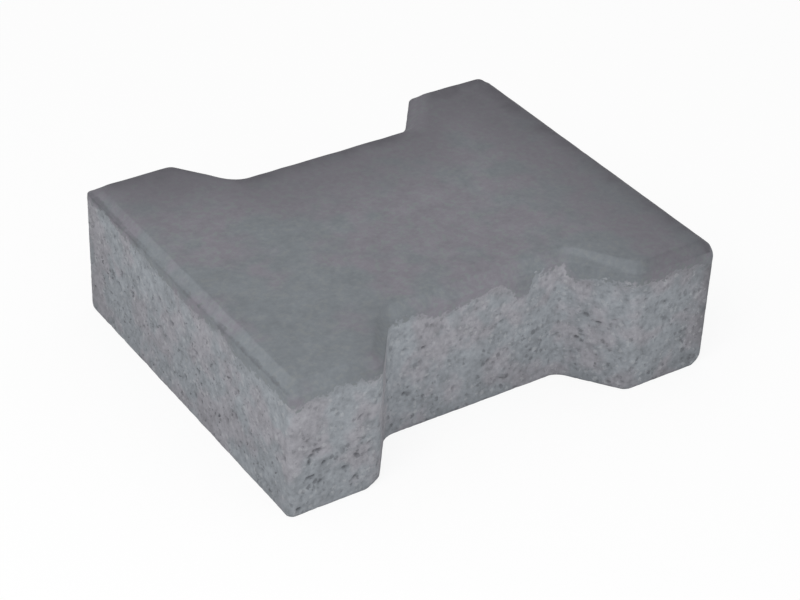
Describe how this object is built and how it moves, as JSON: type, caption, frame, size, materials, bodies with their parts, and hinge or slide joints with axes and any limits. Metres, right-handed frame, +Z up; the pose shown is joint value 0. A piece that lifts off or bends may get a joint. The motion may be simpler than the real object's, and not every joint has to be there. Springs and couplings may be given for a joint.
{
  "type": "concrete paving stone",
  "caption": "Double-T interlocking concrete paving stone with wide heads, a narrower waist, slanting flanks and a bevelled wearing face, for paving yards and drives.",
  "frame": {"origin": "middle of the bed face, on the level it lies on", "axes": "+X from head to head along the length, +Y across the width, +Z up out of the wearing face"},
  "size_m": [0.2, 0.165, 0.06],
  "materials": {
    "concrete": "matte, smooth on the wearing face and bevel, open and gritty on the sides"
  },
  "bodies": {
    "root": {"paving_stone": "concrete"}
  },
  "joints": []
}
